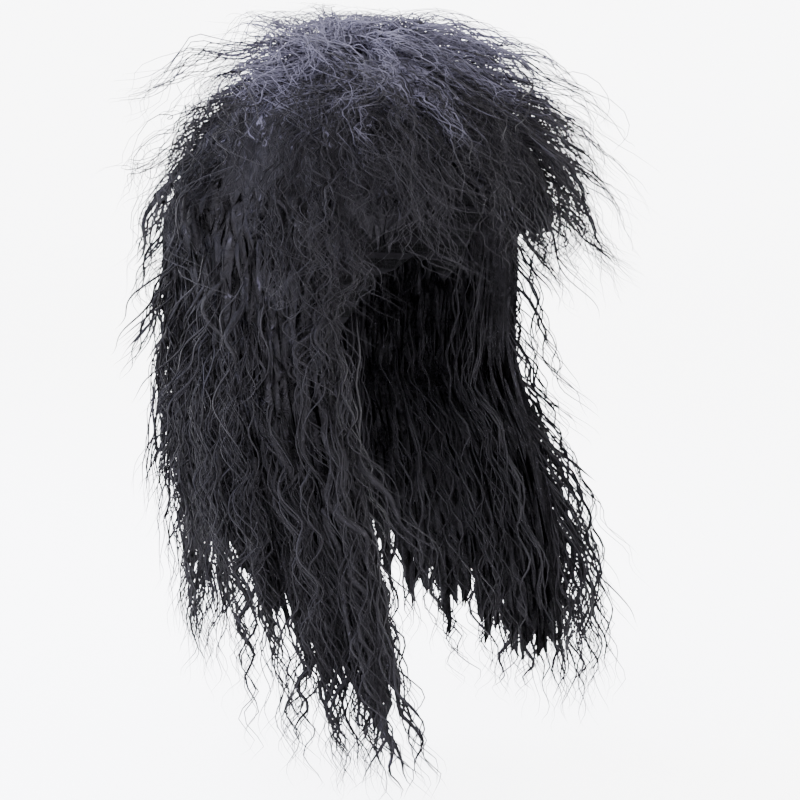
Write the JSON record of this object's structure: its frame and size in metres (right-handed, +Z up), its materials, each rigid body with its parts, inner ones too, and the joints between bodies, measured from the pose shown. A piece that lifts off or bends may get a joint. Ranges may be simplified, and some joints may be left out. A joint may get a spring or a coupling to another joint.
{
  "type": "mullet wig",
  "caption": "Shaggy mullet wig: a stretch cap with crimped hair, full over the crown, short over the brow and long at the sides and back.",
  "frame": {"origin": "inside of the cap at the crown, where it rests on the top of the head", "axes": "+Z up, -Y the way the wearer looks, +X the wearer's left"},
  "size_m": [0.2519, 0.2922, 0.4383],
  "materials": {
    "cap_net": "black elastic net",
    "hair": "black crimped synthetic hair"
  },
  "bodies": {
    "root": {"wig_cap": "cap_net", "crown_hair": "hair", "fringe_hair": "hair", "right_side_hair": "hair", "left_side_hair": "hair", "back_hair": "hair"}
  },
  "joints": []
}
